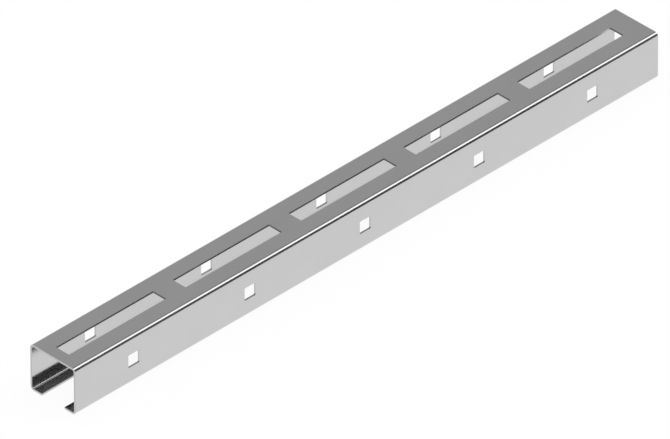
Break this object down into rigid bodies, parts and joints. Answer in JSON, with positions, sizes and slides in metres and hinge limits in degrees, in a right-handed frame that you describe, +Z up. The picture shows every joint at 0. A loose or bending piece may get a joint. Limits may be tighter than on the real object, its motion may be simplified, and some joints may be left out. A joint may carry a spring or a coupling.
{
  "type": "strut channel",
  "caption": "Roll-formed steel strut channel, a C section with plain inturned lips, long square-ended slots along its web and square bolt holes in both side walls.",
  "frame": {"origin": "middle of the channel's base, level with the undersides of the lips", "axes": "+X along the channel towards its far end, +Y across it, +Z up through the slotted web; the open side faces down"},
  "size_m": [0.516, 0.04, 0.035],
  "materials": {
    "bare_steel": "galvanised, smooth and bright, with duller sheared edges"
  },
  "bodies": {
    "root": {"strut_channel": "bare_steel"}
  },
  "joints": []
}
